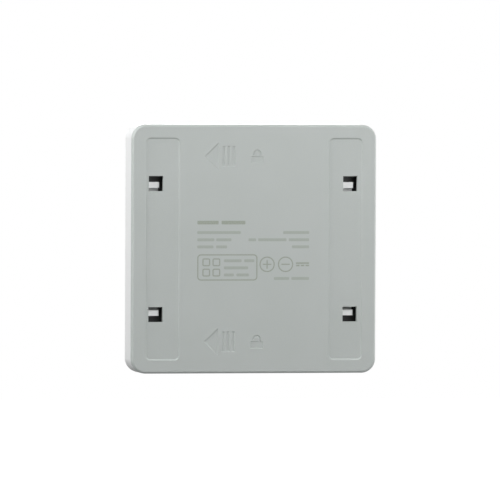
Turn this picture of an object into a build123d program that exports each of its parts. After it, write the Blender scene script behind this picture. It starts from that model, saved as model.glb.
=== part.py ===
"""Battery wall scene switch for a standard 86 mm plate.

A grey back plate is taped to the wall. The white switch body hangs on the plate by four pairs
of interlocking hooks, and it comes off after a short sideways slide. The body is a deep outer
frame with four sprung key caps, and a rear housing that carries the coin cell and the board.

The model is laid out as it would lie on a bench. X runs across the switch, Y runs up it, and Z is
the depth from the wall towards the room. Each piece is stood up against the wall when it is
written: the wall face is then at Y = 0, the keys face -Y, and Z points up.
"""
import os

from build123d import *

# Overall size
SWITCH_SIZE = 86.0
CORNER_RADIUS = 5.0

# Back plate, with the two shallow beds for adhesive tape on its wall face
PLATE_THICKNESS = 2.0
PLATE_EDGE_BREAK = 0.6
TAPE_WIDTH = 11.8
TAPE_SIDE_MARGIN = 4.9
TAPE_END_MARGIN = 4.6
TAPE_DEPTH = 0.4
TAPE_CORNER = 1.6
TAPE_WALL_LEAN = 40.0

# Latch windows through the plate, all set a little towards the side that the plate opens to
WINDOW_WIDTH = 5.0
WINDOW_HEIGHT = 5.2
WINDOW_SIDE_MARGIN = 6.3
WINDOW_SPACING = 45.2
WINDOW_SHIFT = 0.4

# Interlocking hooks, one pair behind each window
HOOK_WIDTH = 2.0
HOOK_INSET = 0.5
HOOK_THICKNESS = 1.0
HOOK_LENGTH = 4.0
HOOK_TIP_COVER = 0.25
HOOK_ENGAGEMENT = 2.1
HOOK_ROUNDING = 0.4
OPENING_PAST_HOOK = 3.0
PLATE_STEM = 1.15
STOP_GAP = 0.1
RELEASE_GAP = 0.1
SLIDING_GAP = 0.2

# Front frame
FRAME_WALL = 1.5
FRAME_RIM_DROP = 0.8
FRAME_EDGE_BREAK = 0.7
WEB_THICKNESS = 1.0
WEB_RIB = 1.2
WEB_RIB_GAP = 0.05
PLATE_GAP = 0.05
SEAM_CHAMFER = 0.25

# Rear housing
HOUSING_CLEARANCE = 0.15
DECK_THICKNESS = 1.4
RIM_WALL = 1.2
RIM_HEIGHT = 3.6
RIB_THICKNESS = 1.0
RIB_HEIGHT = 0.6
BOSS_SIZE = 4.6
SNAP_LENGTH = 8.0
SNAP_HEIGHT = 1.2
SNAP_REACH = 0.6
SNAP_SPACING = 44.0
SNAP_CLEARANCE = 0.1

# Coin cell, 24.5 mm across and 3 mm thick, and its contacts
CELL_DIAMETER = 24.5
CELL_THICKNESS = 3.0
CELL_CAP_INSET = 1.45
CELL_CAP_HEIGHT = 0.3
CELL_PLATE_GAP = 0.1
CELL_SIDE_GAP = 0.3
WELL_WALL = 1.0
LEDGE_WIDTH = 1.4
CONTACT_STRIP = 0.3
CONTACT_WIDTH = 4.0
CONTACT_GAP = 0.03

# Circuit board and what stands on it
BOARD_MARGIN = 3.3
BOARD_THICKNESS = 1.0
BOARD_CORNER = 2.0
BOARD_TO_DECK = 3.15
SCREW_EDGE_MARGIN = 7.5
SCREW_HEAD_DIAMETER = 3.8
SCREW_HEAD_HEIGHT = 1.1
SCREW_SHANK_DIAMETER = 1.9
SCREW_LENGTH = 3.6
SCREW_CLEARANCE = 0.05
RADIO_WIDTH = 18.0
RADIO_HEIGHT = 13.0
RADIO_THICKNESS = 0.8
RADIO_CLEARANCE = 2.0
SHIELD_HEIGHT = 1.6
SHIELD_WALL = 0.2
SHIELD_MARGIN = 1.0
ANTENNA_STRIP = 4.5
CHIP_SIZE = 5.0
CHIP_HEIGHT = 0.9
PASSIVE_LENGTH = 1.6
PASSIVE_WIDTH = 0.8
PASSIVE_HEIGHT = 0.7
PASSIVE_PITCH = 2.6
PASSIVES_PER_ROW = 4
LED_LENGTH = 1.6
LED_WIDTH = 0.8
LED_HEIGHT = 0.6

# Tact switches
TACT_SIZE = 6.0
TACT_HEIGHT = 3.5
TACT_COVER = 0.4
TACT_FLOOR = 0.4
TACT_LEG_WIDTH = 0.7
TACT_LEG_REACH = 1.0
TACT_LEG_THICKNESS = 0.2
TACT_LEG_SPACING = 4.5
PLUNGER_DIAMETER = 3.5
PLUNGER_FLANGE = 0.55
PLUNGER_FLANGE_HEIGHT = 0.6
PLUNGER_PROUD = 0.8
PLUNGER_CLEARANCE = 0.05

# Key caps
KEY_GAP = 0.6
KEY_CORNER = 3.0
KEY_HEIGHT = 2.3
KEY_EDGE_BREAK = 0.6
KEY_TOP = 1.2
KEY_SKIRT = 1.3
KEY_TRAVEL = 0.4
KEY_FLOAT = 0.1
KEY_STEM_SIZE = 4.4
KEY_STEM_CLEARANCE = 0.4
KEY_RIB = 0.9
LEG_WIDTH = 3.0
LEG_THICKNESS = 1.2
LEG_INSET = 6.5
LEG_BARB = 0.5
LEG_BARB_HEIGHT = 0.7
LEG_CLEARANCE = 0.1
GUIDE_DIAMETER = 2.0
GUIDE_LEG_GAP = 1.7
GUIDE_LED_GAP = 0.4
GUIDE_WEB_CLEARANCE = 0.5

# Depths from the wall, worked out from the sizes above
HOUSING_REAR = PLATE_THICKNESS + PLATE_GAP
DECK_FRONT = HOUSING_REAR + DECK_THICKNESS
BOARD_REAR = DECK_FRONT + BOARD_TO_DECK
BOARD_FRONT = BOARD_REAR + BOARD_THICKNESS
CELL_REAR = HOUSING_REAR + CELL_PLATE_GAP
CELL_FRONT = CELL_REAR + CELL_THICKNESS
CELL_SHOULDER = CELL_FRONT - CELL_CAP_HEIGHT
TACT_FRONT = BOARD_FRONT + TACT_HEIGHT
PLUNGER_TIP = TACT_FRONT + PLUNGER_PROUD
WEB_REAR = TACT_FRONT + KEY_FLOAT
WEB_FRONT = WEB_REAR + WEB_THICKNESS
SKIRT_REAR = WEB_FRONT + KEY_TRAVEL + KEY_FLOAT
KEY_FRONT = SKIRT_REAR + KEY_HEIGHT
KEY_UNDERSIDE = KEY_FRONT - KEY_TOP
FRAME_FRONT = KEY_FRONT - FRAME_RIM_DROP
SNAP_MIDDLE = DECK_FRONT + RIM_HEIGHT / 2

# Sizes across the switch, worked out from the sizes above
HALF = SWITCH_SIZE / 2
TAPE_X = HALF - TAPE_SIDE_MARGIN - TAPE_WIDTH / 2
TAPE_LENGTH = SWITCH_SIZE - 2 * TAPE_END_MARGIN
WINDOW_X = HALF - WINDOW_SIDE_MARGIN - WINDOW_WIDTH / 2
WINDOW_Y = WINDOW_SPACING / 2
LATCH_TRAVEL = HOOK_ENGAGEMENT + RELEASE_GAP
CAVITY_SIZE = SWITCH_SIZE - 2 * FRAME_WALL
CAVITY_CORNER = CORNER_RADIUS - FRAME_WALL
HOUSING_SIZE = CAVITY_SIZE - 2 * HOUSING_CLEARANCE
HOUSING_CORNER = CAVITY_CORNER - HOUSING_CLEARANCE
RIM_INSIDE = HOUSING_SIZE - 2 * RIM_WALL
BOARD_SIZE = HOUSING_SIZE - 2 * BOARD_MARGIN
SCREW_REACH = HOUSING_SIZE / 2 - SCREW_EDGE_MARGIN
KEY_SIZE = (CAVITY_SIZE - 3 * KEY_GAP) / 2
KEY_CENTRE = (KEY_SIZE + KEY_GAP) / 2
LEG_REACH = KEY_SIZE / 2 - LEG_INSET
GUIDE_OFFSET = LEG_REACH - (LEG_THICKNESS + GUIDE_DIAMETER) / 2 - GUIDE_LEG_GAP
WELL_RADIUS = CELL_DIAMETER / 2 + CELL_SIDE_GAP
RADIO_Y = WELL_RADIUS + WELL_WALL + RADIO_CLEARANCE + RADIO_HEIGHT / 2
CHIP_Y = -RADIO_Y

KEY_PLACES = [
    (column * KEY_CENTRE, row * KEY_CENTRE)
    for row in (1, -1)
    for column in (-1, 1)
]
SCREW_PLACES = [(SCREW_REACH, 0.0), (0.0, SCREW_REACH), (-SCREW_REACH, 0.0), (0.0, -SCREW_REACH)]


def slab(width, height, radius, rear, front, x=0.0, y=0.0):
    """A rounded rectangle between two depths."""
    return Pos(x, y, rear) * extrude(RectangleRounded(width, height, radius), front - rear)


def block(width, height, rear, front, x=0.0, y=0.0):
    """A square-cornered block between two depths."""
    return Pos(x, y, rear) * extrude(Rectangle(width, height), front - rear)


def disc(diameter, rear, front, x=0.0, y=0.0):
    """A round pin or bore between two depths."""
    return Pos(x, y, rear) * extrude(Circle(diameter / 2), front - rear)


def side_profile(points, width, rounding=0.0):
    """A profile drawn across and into the switch, as wide as given in the upright direction.

    A rounding is given to the corner that lies nearest the wall on the far side of the profile.
    """
    profile = make_face(Polyline(*points, close=True))
    if rounding:
        corner = profile.vertices().group_by(Axis.Y)[0].sort_by(Axis.X)[0]
        profile = fillet(corner, rounding)
    return extrude(Plane.XZ * profile, width / 2, both=True)


def latch_places():
    """The leading edge, height and side of each latch window."""
    places = []
    for column in (-1, 1):
        for row in (-1, 1):
            leading_edge = column * WINDOW_X + WINDOW_SHIFT + WINDOW_WIDTH / 2
            places.append((leading_edge, row * WINDOW_Y, row))
    return places


# The two hooks of a latch lie one over the other, so their depths follow one from the other.
BODY_HOOK_REAR = PLATE_THICKNESS + SLIDING_GAP
BODY_HOOK_FRONT = BODY_HOOK_REAR + HOOK_THICKNESS
PLATE_HOOK_REAR = BODY_HOOK_FRONT + SLIDING_GAP
PLATE_HOOK_FRONT = PLATE_HOOK_REAR + HOOK_THICKNESS
ARM_REAR = PLATE_HOOK_FRONT + SLIDING_GAP
ARM_FRONT = ARM_REAR + HOOK_THICKNESS
PLATE_STEM_FACE = HOOK_TIP_COVER + STOP_GAP
PLATE_STEM_BACK = PLATE_STEM_FACE + PLATE_STEM
OPENING_LEAD = PLATE_STEM_BACK + LATCH_TRAVEL + SLIDING_GAP
OPENING_TRAIL = HOOK_LENGTH + OPENING_PAST_HOOK
OPENING_HEIGHT = WINDOW_HEIGHT + 2 * SLIDING_GAP


def plate_hook():
    """The hook of the back plate, which reaches under the head of the body's hook."""
    tip = HOOK_TIP_COVER - HOOK_ENGAGEMENT
    root = PLATE_THICKNESS - HOOK_THICKNESS
    points = [
        (PLATE_STEM_FACE, root),
        (PLATE_STEM_BACK, root),
        (PLATE_STEM_BACK, PLATE_HOOK_FRONT),
        (tip, PLATE_HOOK_FRONT),
        (tip, PLATE_HOOK_REAR),
        (PLATE_STEM_FACE, PLATE_HOOK_REAR),
    ]
    return side_profile(points, HOOK_WIDTH)


def body_hook():
    """The head and stem of a hook of the rear housing."""
    stem_inside = HOOK_THICKNESS - HOOK_LENGTH
    points = [
        (HOOK_TIP_COVER, BODY_HOOK_REAR),
        (-HOOK_LENGTH, BODY_HOOK_REAR),
        (-HOOK_LENGTH, ARM_FRONT),
        (stem_inside, ARM_FRONT),
        (stem_inside, BODY_HOOK_FRONT),
        (HOOK_TIP_COVER, BODY_HOOK_FRONT),
    ]
    return side_profile(points, HOOK_WIDTH, HOOK_ROUNDING)


def hook_arm(edge, height, row):
    """The arm that carries a hook from the deck, on the side of the switch's middle."""
    middle = edge - HOOK_LENGTH / 2
    seat = DECK_FRONT - DECK_THICKNESS / 2
    inside = HOOK_INSET
    outside = OPENING_HEIGHT / 2 + HOOK_THICKNESS
    riser_place = height - row * (outside - HOOK_THICKNESS / 2)
    floor_place = height - row * (inside + outside) / 2
    riser = block(HOOK_LENGTH, HOOK_THICKNESS, seat, ARM_FRONT, middle, riser_place)
    floor = block(HOOK_LENGTH, outside - inside, ARM_REAR, ARM_FRONT, middle, floor_place)
    return riser + floor


def tape_bed():
    """The space of a tape bed, with walls that lean outwards to the wall face."""
    mouth = RectangleRounded(TAPE_WIDTH, TAPE_LENGTH, TAPE_CORNER)
    return extrude(mouth, TAPE_DEPTH, taper=TAPE_WALL_LEAN)


def build_back_plate():
    """The wall plate: tape beds behind, latch windows through it, and hooks inside."""
    plate = slab(SWITCH_SIZE, SWITCH_SIZE, CORNER_RADIUS, 0, PLATE_THICKNESS)
    plate = chamfer(plate.faces().sort_by(Axis.Z)[0].edges(), PLATE_EDGE_BREAK)
    for side in (-1, 1):
        plate -= Pos(side * TAPE_X, 0, 0) * tape_bed()
    for edge, height, row in latch_places():
        plate -= block(
            WINDOW_WIDTH, WINDOW_HEIGHT, 0, PLATE_THICKNESS, edge - WINDOW_WIDTH / 2, height
        )
        plate += Pos(edge, height - row * HOOK_INSET, 0) * plate_hook()
    return plate


def snap_places():
    """The places and turns of the eight snaps round the rear housing."""
    places = []
    for quarter in range(4):
        for side in (-1, 1):
            places.append(Rot(0, 0, 90 * quarter) * Pos(HOUSING_SIZE / 2, side * SNAP_SPACING / 2, 0))
    return places


def snap_wedge(reach, length, height):
    """A snap's wedge, square towards the room and sloped towards the wall."""
    points = [
        (-RIM_WALL / 2, SNAP_MIDDLE - height / 2),
        (0, SNAP_MIDDLE - height / 2),
        (reach, SNAP_MIDDLE + height / 4),
        (reach, SNAP_MIDDLE + height / 2),
        (-RIM_WALL / 2, SNAP_MIDDLE + height / 2),
    ]
    return side_profile(points, length)


def build_rear_housing():
    """The housing behind the board: deck, rim with snaps, cell well, bosses and hooks."""
    rim_front = DECK_FRONT + RIM_HEIGHT
    well_diameter = 2 * WELL_RADIUS
    housing = slab(HOUSING_SIZE, HOUSING_SIZE, HOUSING_CORNER, HOUSING_REAR, rim_front)
    housing -= slab(RIM_INSIDE, RIM_INSIDE, HOUSING_CORNER - RIM_WALL, DECK_FRONT, rim_front)
    for place in snap_places():
        housing += place * snap_wedge(SNAP_REACH, SNAP_LENGTH, SNAP_HEIGHT)

    rib_front = DECK_FRONT + RIB_HEIGHT
    housing += block(RIM_INSIDE, RIB_THICKNESS, DECK_FRONT, rib_front)
    housing += block(RIB_THICKNESS, RIM_INSIDE, DECK_FRONT, rib_front)
    for side in (-1, 1):
        offset = side * (WELL_RADIUS + WELL_WALL)
        housing += block(RIB_THICKNESS, RIM_INSIDE, DECK_FRONT, rib_front, x=offset)
    for x, y in SCREW_PLACES:
        housing += block(BOSS_SIZE, BOSS_SIZE, DECK_FRONT, BOARD_REAR, x, y)

    housing += disc(well_diameter + 2 * WELL_WALL, DECK_FRONT, BOARD_REAR)
    housing -= disc(well_diameter, HOUSING_REAR, CELL_SHOULDER)
    housing -= disc(well_diameter - 2 * LEDGE_WIDTH, CELL_SHOULDER, BOARD_REAR)
    slot_depth = BOARD_REAR - CELL_REAR
    housing -= Pos(WELL_RADIUS + WELL_WALL / 2, 0, CELL_REAR + slot_depth / 2) * Box(
        4 * WELL_WALL, CONTACT_WIDTH + 2 * CELL_SIDE_GAP, slot_depth
    )

    for x, y in SCREW_PLACES:
        tip = BOARD_FRONT - SCREW_LENGTH
        housing -= disc(SCREW_SHANK_DIAMETER + 2 * SCREW_CLEARANCE, tip, BOARD_REAR, x, y)
    for edge, height, row in latch_places():
        housing -= block(
            OPENING_LEAD + OPENING_TRAIL,
            OPENING_HEIGHT,
            HOUSING_REAR,
            rim_front,
            edge + (OPENING_LEAD - OPENING_TRAIL) / 2,
            height,
        )
        housing += Pos(edge, height - row * HOOK_INSET, 0) * body_hook()
        housing += hook_arm(edge, height, row)
    return housing


def leg_places():
    """The places and turns of a key cap's four guide legs."""
    return [Rot(0, 0, 90 * quarter) * Pos(LEG_REACH, 0, 0) for quarter in range(4)]


def build_front_frame():
    """The outer frame: deep side walls, a front rim, and the web that guides the keys.

    Two crossed ribs under the web stop just short of the board and back it up between the keys.
    """
    frame = slab(SWITCH_SIZE, SWITCH_SIZE, CORNER_RADIUS, HOUSING_REAR, FRAME_FRONT)
    frame = chamfer(frame.faces().sort_by(Axis.Z)[-1].edges(), FRAME_EDGE_BREAK)
    frame = chamfer(frame.faces().sort_by(Axis.Z)[0].edges(), SEAM_CHAMFER)
    frame -= slab(CAVITY_SIZE, CAVITY_SIZE, CAVITY_CORNER, HOUSING_REAR, WEB_REAR)
    frame -= slab(CAVITY_SIZE, CAVITY_SIZE, CAVITY_CORNER, WEB_FRONT, FRAME_FRONT)
    rib_rear = BOARD_FRONT + WEB_RIB_GAP
    rib_length = 2 * (SCREW_REACH - SCREW_HEAD_DIAMETER)
    frame += block(rib_length, WEB_RIB, rib_rear, WEB_REAR)
    frame += block(WEB_RIB, rib_length, rib_rear, WEB_REAR)
    for place in snap_places():
        pocket = snap_wedge(
            SNAP_REACH + SNAP_CLEARANCE + HOUSING_CLEARANCE,
            SNAP_LENGTH + 2 * SNAP_CLEARANCE,
            SNAP_HEIGHT + 2 * SNAP_CLEARANCE,
        )
        frame -= place * pocket
    for x, y in KEY_PLACES:
        stem_hole = KEY_STEM_SIZE + 2 * KEY_STEM_CLEARANCE
        frame -= block(stem_hole, stem_hole, WEB_REAR, WEB_FRONT, x, y)
        guide_hole = GUIDE_DIAMETER + 2 * GUIDE_WEB_CLEARANCE
        frame -= block(guide_hole, guide_hole, WEB_REAR, WEB_FRONT, x, y + GUIDE_OFFSET)
        for place in leg_places():
            slot = block(
                LEG_THICKNESS + 2 * LEG_CLEARANCE,
                LEG_WIDTH + 2 * LEG_CLEARANCE,
                WEB_REAR,
                WEB_FRONT,
            )
            frame -= Pos(x, y, 0) * place * slot
    return frame


def key_leg():
    """A guide leg of a key cap, with the barb that keeps the cap on the web."""
    barb_front = WEB_REAR - KEY_FLOAT / 2
    barb_rear = barb_front - LEG_BARB_HEIGHT
    face = LEG_THICKNESS / 2
    points = [
        (-face, KEY_UNDERSIDE),
        (-face, barb_rear),
        (face, barb_rear),
        (face + LEG_BARB, barb_front - LEG_BARB_HEIGHT / 3),
        (face + LEG_BARB, barb_front),
        (face, barb_front),
        (face, KEY_UNDERSIDE),
    ]
    return side_profile(points, LEG_WIDTH)


def build_key_cap(x, y):
    """A key cap: flat face, skirt, crossed ribs, centre stem and four snap legs."""
    cap = slab(KEY_SIZE, KEY_SIZE, KEY_CORNER, SKIRT_REAR, KEY_FRONT)
    cap = chamfer(cap.faces().sort_by(Axis.Z)[-1].edges(), KEY_EDGE_BREAK)
    inside = KEY_SIZE - 2 * KEY_SKIRT
    cap -= block(inside, inside, SKIRT_REAR, KEY_UNDERSIDE)
    rib_rear = SKIRT_REAR + KEY_FLOAT
    cap += block(inside, KEY_RIB, rib_rear, KEY_UNDERSIDE)
    cap += block(KEY_RIB, inside, rib_rear, KEY_UNDERSIDE)
    cap += block(KEY_STEM_SIZE, KEY_STEM_SIZE, PLUNGER_TIP, KEY_UNDERSIDE)
    for place in leg_places():
        cap += place * key_leg()
    boss_size = GUIDE_DIAMETER + 2 * KEY_RIB
    cap += block(boss_size, boss_size, rib_rear, KEY_UNDERSIDE, 0, GUIDE_OFFSET)
    cap -= disc(GUIDE_DIAMETER, rib_rear, KEY_FRONT, 0, GUIDE_OFFSET)
    return Pos(x, y, 0) * cap


def build_light_guide(x, y):
    """The clear rod that brings the indicator light to the face of a key."""
    rear = BOARD_FRONT + LED_HEIGHT + GUIDE_LED_GAP + KEY_TRAVEL
    return disc(GUIDE_DIAMETER, rear, KEY_FRONT, x, y + GUIDE_OFFSET)


def build_circuit_board():
    """The board on its four bosses, with clearance holes for the screws."""
    board = slab(BOARD_SIZE, BOARD_SIZE, BOARD_CORNER, BOARD_REAR, BOARD_FRONT)
    for x, y in SCREW_PLACES:
        board -= disc(SCREW_SHANK_DIAMETER + 2 * SCREW_CLEARANCE, BOARD_REAR, BOARD_FRONT, x, y)
    return board


def build_tact_switch(x, y):
    """A square tact switch with four gull-wing legs."""
    body = block(TACT_SIZE, TACT_SIZE, BOARD_FRONT, TACT_FRONT)
    cavity = PLUNGER_DIAMETER + 2 * PLUNGER_FLANGE + 2 * PLUNGER_CLEARANCE
    body -= block(cavity, cavity, BOARD_FRONT + TACT_FLOOR, TACT_FRONT - TACT_COVER)
    body -= disc(PLUNGER_DIAMETER + 2 * PLUNGER_CLEARANCE, TACT_FRONT - TACT_COVER, TACT_FRONT)
    for side in (-1, 1):
        for end in (-1, 1):
            body += block(
                2 * TACT_LEG_REACH,
                TACT_LEG_WIDTH,
                BOARD_FRONT,
                BOARD_FRONT + TACT_LEG_THICKNESS,
                side * TACT_SIZE / 2,
                end * TACT_LEG_SPACING / 2,
            )
    return Pos(x, y, 0) * body


def build_plunger(x, y):
    """The plunger of a tact switch: a pin with a square flange under the switch's cover."""
    flange_front = TACT_FRONT - TACT_COVER - KEY_FLOAT / 2
    flange_rear = flange_front - PLUNGER_FLANGE_HEIGHT
    flange_size = PLUNGER_DIAMETER + 2 * PLUNGER_FLANGE
    flange = block(flange_size, flange_size, flange_rear, flange_front)
    pin = disc(PLUNGER_DIAMETER, flange_rear, PLUNGER_TIP)
    return Pos(x, y, 0) * (flange + pin)


def build_status_leds():
    """One small light-emitting diode under each light guide."""
    leds = []
    for x, y in KEY_PLACES:
        leds.append(
            block(LED_LENGTH, LED_WIDTH, BOARD_FRONT, BOARD_FRONT + LED_HEIGHT, x, y + GUIDE_OFFSET)
        )
    return leds


def build_coin_cell():
    """The coin cell: steel can towards the wall and smaller cap towards the board."""
    cap_diameter = CELL_DIAMETER - 2 * CELL_CAP_INSET
    return disc(CELL_DIAMETER, CELL_REAR, CELL_SHOULDER) + disc(
        cap_diameter, CELL_SHOULDER, CELL_FRONT
    )


def contact_strip(points):
    """A bent contact of thin sheet along a line across and into the switch."""
    line = Polyline(*points)
    profile = trace(line, line_width=CONTACT_STRIP)
    return extrude(Plane.XZ * profile, CONTACT_WIDTH / 2, both=True)


def build_battery_clip():
    """The positive contact: a foot on the board and a blade against the side of the can."""
    half_strip = CONTACT_STRIP / 2
    foot = BOARD_REAR - half_strip
    touch = CELL_DIAMETER / 2 + CONTACT_GAP + half_strip
    riser = WELL_RADIUS + WELL_WALL + CONTACT_STRIP
    points = [
        (riser + CONTACT_WIDTH, foot),
        (riser, foot),
        (riser, CELL_REAR + CELL_THICKNESS / 4),
        (touch, CELL_REAR + CELL_THICKNESS / 2),
        (touch + CONTACT_STRIP, CELL_SHOULDER - CONTACT_STRIP),
    ]
    return contact_strip(points)


def build_battery_spring():
    """The negative contact: a foot on the board and a leaf that rises to the cell's cap."""
    half_strip = CONTACT_STRIP / 2
    foot = BOARD_REAR - half_strip
    crown = CELL_FRONT + CONTACT_GAP + half_strip
    reach = (CELL_DIAMETER / 2 - CELL_CAP_INSET) / 2
    points = [
        (-reach - CONTACT_WIDTH, foot),
        (-reach, foot),
        (0, crown),
        (reach / 2, crown),
        (reach, (crown + foot) / 2),
    ]
    return contact_strip(points)


def build_radio_module():
    """The small radio board, soldered flat to the rear of the main board."""
    return block(RADIO_WIDTH, RADIO_HEIGHT, BOARD_REAR - RADIO_THICKNESS, BOARD_REAR, 0, RADIO_Y)


def build_radio_shield():
    """The pressed metal lid over the radio, clear of the printed antenna."""
    front = BOARD_REAR - RADIO_THICKNESS
    rear = front - SHIELD_HEIGHT
    width = RADIO_WIDTH - 2 * SHIELD_MARGIN - ANTENNA_STRIP
    height = RADIO_HEIGHT - 2 * SHIELD_MARGIN
    centre = -ANTENNA_STRIP / 2
    lid = block(width, height, rear, front, centre, RADIO_Y)
    lid = chamfer(lid.faces().sort_by(Axis.Z)[0].edges(), SHIELD_WALL)
    inside_width = width - 2 * SHIELD_WALL
    inside_height = height - 2 * SHIELD_WALL
    lid -= block(inside_width, inside_height, rear + SHIELD_WALL, front, centre, RADIO_Y)
    return lid


def build_chip_components():
    """The supply chip and the rows of small parts on either side of it."""
    parts = [block(CHIP_SIZE, CHIP_SIZE, BOARD_REAR - CHIP_HEIGHT, BOARD_REAR, 0, CHIP_Y)]
    for side in (-1, 1):
        for index in range(PASSIVES_PER_ROW):
            offset = (index - (PASSIVES_PER_ROW - 1) / 2) * PASSIVE_PITCH
            parts.append(
                block(
                    PASSIVE_LENGTH,
                    PASSIVE_WIDTH,
                    BOARD_REAR - PASSIVE_HEIGHT,
                    BOARD_REAR,
                    side * (CHIP_SIZE + PASSIVE_LENGTH),
                    CHIP_Y + offset,
                )
            )
    return parts


def build_board_screws():
    """Four cheese-head screws that hold the board to the bosses."""
    shank = disc(SCREW_SHANK_DIAMETER, BOARD_FRONT - SCREW_LENGTH, BOARD_FRONT)
    screw = shank + disc(SCREW_HEAD_DIAMETER, BOARD_FRONT, BOARD_FRONT + SCREW_HEAD_HEIGHT)
    return [Pos(x, y, 0) * screw for x, y in SCREW_PLACES]


def write_node(name, shape):
    """Stand a piece up against the wall and write it."""
    solids = shape if isinstance(shape, list) else [shape]
    stood = [Plane.XZ.location * solid for solid in solids]
    node = Compound(label=name, children=stood) if len(stood) > 1 else stood[0]
    export_step(node, f"parts/{name}.step")


def main():
    os.makedirs("parts", exist_ok=True)
    write_node("back_plate", build_back_plate())
    write_node("rear_housing", build_rear_housing())
    write_node("front_frame", build_front_frame())
    write_node("circuit_board", build_circuit_board())
    write_node("status_leds", build_status_leds())
    write_node("coin_cell", build_coin_cell())
    write_node("battery_clip", build_battery_clip())
    write_node("battery_spring", build_battery_spring())
    write_node("radio_module", build_radio_module())
    write_node("radio_shield", build_radio_shield())
    write_node("chip_components", build_chip_components())
    write_node("board_screws", build_board_screws())
    for number, (x, y) in enumerate(KEY_PLACES, start=1):
        write_node(f"key_cap_{number}", build_key_cap(x, y))
        write_node(f"light_guide_{number}", build_light_guide(x, y))
        write_node(f"tact_switch_{number}", build_tact_switch(x, y))
        write_node(f"switch_plunger_{number}", build_plunger(x, y))


main()
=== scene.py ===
"""Dresses the battery wall scene switch and sets it in a plain pale studio.

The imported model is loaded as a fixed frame. Each sub-assembly of the switch is a class that holds
its own sizes in millimetres, builds what the solids leave to this script, and gives every piece
its finish. All pieces share the frame of the solids: the wall face of the back plate lies at
Y = 0, the keys face -Y, and Z points up. The back plate opens towards +X.
"""
import logging
import math
from contextlib import contextmanager
from dataclasses import dataclass, field
from enum import Enum
from typing import Any, Iterable, Iterator, Optional

import bmesh
import bpy
from bmesh.types import BMEdge as Edge, BMesh as Shape, BMVert as Vert
from bpy.types import ID, Material, Mesh, Node, NodeSocket, NodeTree as Tree, Object as Piece
from mathutils import Matrix, Quaternion, Vector


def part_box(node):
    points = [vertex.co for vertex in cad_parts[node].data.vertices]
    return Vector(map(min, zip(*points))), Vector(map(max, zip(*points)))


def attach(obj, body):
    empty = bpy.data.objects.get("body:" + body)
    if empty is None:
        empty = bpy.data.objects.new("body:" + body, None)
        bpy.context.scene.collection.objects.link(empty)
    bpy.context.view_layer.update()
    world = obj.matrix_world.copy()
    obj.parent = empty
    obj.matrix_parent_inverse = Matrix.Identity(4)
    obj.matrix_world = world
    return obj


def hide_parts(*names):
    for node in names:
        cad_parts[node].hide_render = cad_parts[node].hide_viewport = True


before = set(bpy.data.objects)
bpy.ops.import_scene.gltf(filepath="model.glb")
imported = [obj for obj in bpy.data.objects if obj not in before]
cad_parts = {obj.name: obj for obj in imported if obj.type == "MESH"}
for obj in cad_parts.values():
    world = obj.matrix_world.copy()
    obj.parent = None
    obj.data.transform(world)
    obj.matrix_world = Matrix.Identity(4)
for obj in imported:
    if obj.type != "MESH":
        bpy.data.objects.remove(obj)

LOG = logging.getLogger("scene_switch")

Pair = tuple[float, float]
Triple = tuple[float, float, float]
Inputs = dict[Any, Any]

MM = 0.001
JOIN_DISTANCE = 0.0005 * MM
# Faces that turn by less than this, in degrees, are one flat face.
FLAT_ANGLE = 0.05
# The least and the greatest turn of a chamfer's edge and of a rim, in degrees.
CHAMFER = (30.0, 60.0)
RIM = (80.0, 180.0)
# A face looks forward when its normal leans to -Y by more than this.
FORWARD = -0.9
# A square whose corners take this share of its side is drawn as a disc.
DISC = 0.49
BLACK = (0.0, 0.0, 0.0, 1.0)
WHITE = (1.0, 1.0, 1.0, 1.0)
BEVEL = {"offset_type": "OFFSET", "profile": 0.5, "material": -1}
INSET = {"use_even_offset": True, "use_boundary": True}
UPRIGHT = Matrix.Rotation(math.pi / 2, 3, "X")
CORNERS = ((-1, -1), (-1, 1), (1, -1), (1, 1))
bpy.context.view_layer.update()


def linear(colour: str) -> tuple[float, float, float, float]:
    """Turns an sRGB hex colour into linear values.

    Args:
        colour: The colour as "#RRGGBB".

    Returns:
        Red, green, blue and a full alpha for a shader socket.
    """
    channels = []
    for start in (1, 3, 5):
        value = int(colour[start:start + 2], 16) / 255
        channels.append(value / 12.92 if value <= 0.04045 else ((value + 0.055) / 1.055) ** 2.4)
    return (channels[0], channels[1], channels[2], 1.0)


def add_node(tree: Tree, kind: str, inputs: Optional[Inputs] = None, **settings: Any) -> Node:
    """Adds one node with its settings, socket values and links.

    Args:
        tree: The node tree that takes the node.
        kind: The node's type, without the "ShaderNode" that all types start with.
        inputs: Values by socket name or index. An output socket there is linked, and so is the
            first output in use of a node.
        settings: Attributes to set on the node itself.

    Returns:
        The new node.
    """
    node = tree.nodes.new("ShaderNode" + kind)
    for name, value in settings.items():
        setattr(node, name, value)
    for socket, value in (inputs or {}).items():
        if isinstance(value, Node):
            value = next(output for output in value.outputs if output.enabled)
        if isinstance(value, NodeSocket):
            tree.links.new(value, node.inputs[socket])
        else:
            node.inputs[socket].default_value = value
    return node


@dataclass(frozen=True)
class Finish:
    """A finish with a name and a face colour, drawn on object coordinates in millimetres."""

    name: str
    face: str

    def material(self) -> Material:
        """Builds the finish as a new material.

        Returns:
            The node material.
        """
        material = bpy.data.materials.new(self.name)
        material.use_nodes = True
        tree = material.node_tree
        tree.nodes.clear()
        origin = add_node(tree, "TexCoord").outputs["Object"]
        in_mm = {"Vector": origin, "Scale": (1 / MM, 1 / MM, 1 / MM)}
        place = add_node(tree, "Mapping", in_mm)
        shader = add_node(tree, "BsdfPrincipled", self.look(tree, place))
        add_node(tree, "OutputMaterial", {"Surface": shader})
        return material

    def look(self, tree: Tree, place: Node) -> Inputs:
        """Draws the finish's pattern.

        Args:
            tree: The tree to draw in.
            place: The coordinates in millimetres.

        Returns:
            The shader's inputs.
        """
        raise NotImplementedError


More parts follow.
